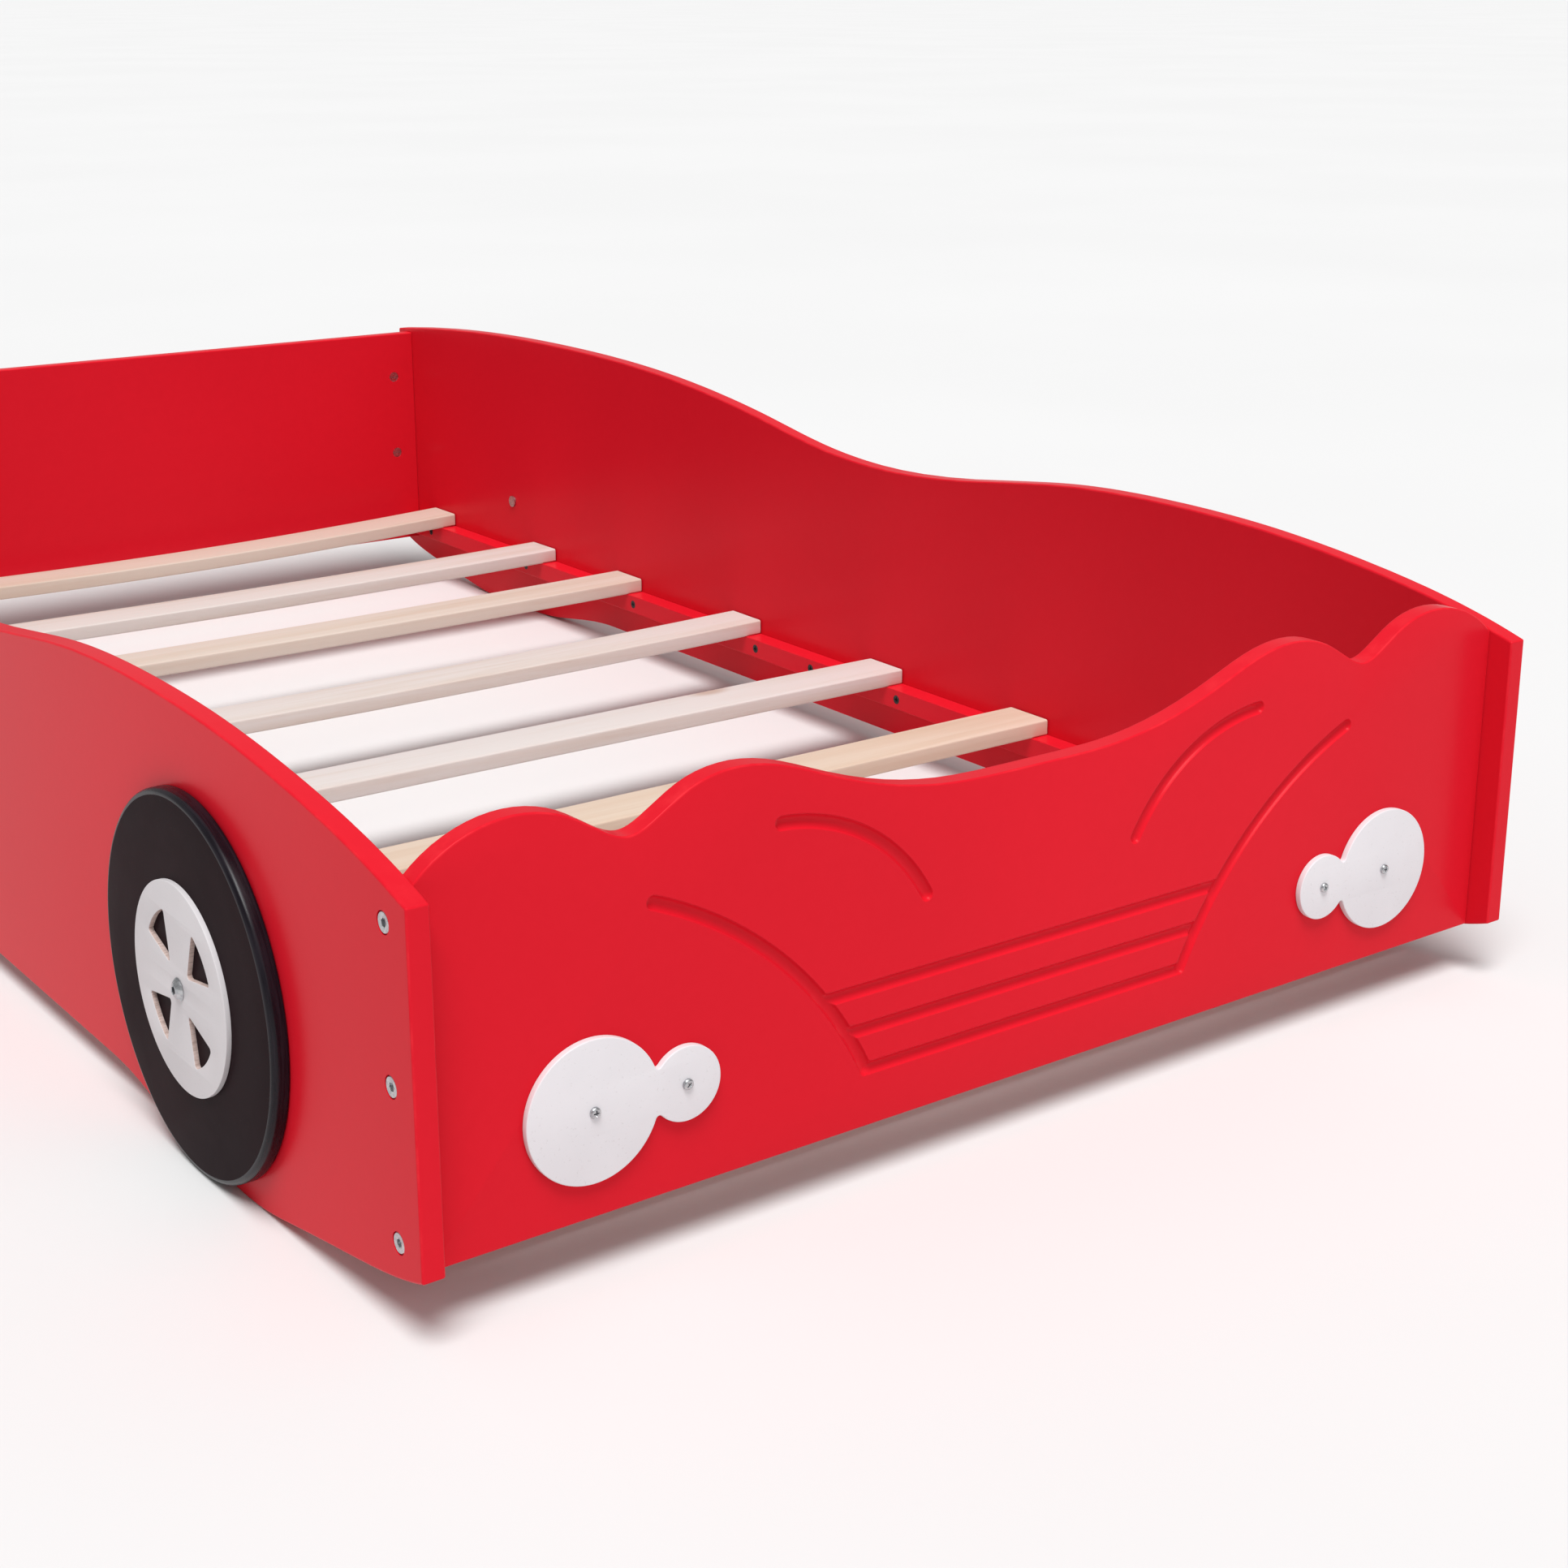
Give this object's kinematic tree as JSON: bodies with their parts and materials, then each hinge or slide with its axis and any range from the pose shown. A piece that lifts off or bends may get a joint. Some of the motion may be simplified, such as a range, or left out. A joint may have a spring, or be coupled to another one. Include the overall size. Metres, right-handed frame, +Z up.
{
  "type": "toddler bed",
  "caption": "Low toddler bed shaped like a race car: red painted panels, pale slats on side rails, disc wheels that turn, round headlights and a routed grille.",
  "frame": {"origin": "on the floor, under the middle of the bed", "axes": "+X to the right seen from the foot end, +Y towards the headboard, +Z up"},
  "size_m": [0.7854, 1.41, 0.2673],
  "materials": {
    "red_paint": "satin red paint on fibreboard",
    "slat_wood": "bare planed softwood",
    "tyre_black": "satin black paint on fibreboard",
    "hub_white": "satin light grey face on thin board",
    "headlight_white": "satin off-white paint",
    "zinc": "zinc plated",
    "black_screw": "black phosphate"
  },
  "bodies": {
    "bed_frame": {"front_panel": "red_paint", "headboard_panel": "red_paint", "left_side_panel": "red_paint", "right_side_panel": "red_paint", "left_slat_rail": "red_paint", "right_slat_rail": "red_paint", "slat_1": "slat_wood", "slat_2": "slat_wood", "slat_3": "slat_wood", "slat_4": "slat_wood", "slat_5": "slat_wood", "slat_6": "slat_wood", "slat_7": "slat_wood", "slat_8": "slat_wood", "left_headlight": "headlight_white", "right_headlight": "headlight_white", "corner_bolts": "zinc", "barrel_nuts": "zinc", "wheel_bolts": "zinc", "wheel_sleeve_nuts": "zinc", "headlight_screws": "zinc", "rail_screws": "black_screw", "slat_screws": "black_screw"},
    "front_left_wheel": {"front_left_tyre": "tyre_black", "front_left_hub": "hub_white"},
    "front_right_wheel": {"front_right_tyre": "tyre_black", "front_right_hub": "hub_white"},
    "rear_left_wheel": {"rear_left_tyre": "tyre_black", "rear_left_hub": "hub_white"},
    "rear_right_wheel": {"rear_right_tyre": "tyre_black", "rear_right_hub": "hub_white"}
  },
  "joints": [
    {"name": "front_left_wheel_spin", "type": "hinge", "parent": "bed_frame", "child": "front_left_wheel", "pos_m": [-0.3773, -0.474, 0.1045], "axis": [1, 0, 0], "continuous": true},
    {"name": "front_right_wheel_spin", "type": "hinge", "parent": "bed_frame", "child": "front_right_wheel", "pos_m": [0.3773, -0.474, 0.1045], "axis": [1, 0, 0], "continuous": true},
    {"name": "rear_left_wheel_spin", "type": "hinge", "parent": "bed_frame", "child": "rear_left_wheel", "pos_m": [-0.3773, 0.4805, 0.1045], "axis": [1, 0, 0], "continuous": true},
    {"name": "rear_right_wheel_spin", "type": "hinge", "parent": "bed_frame", "child": "rear_right_wheel", "pos_m": [0.3773, 0.4805, 0.1045], "axis": [1, 0, 0], "continuous": true}
  ]
}
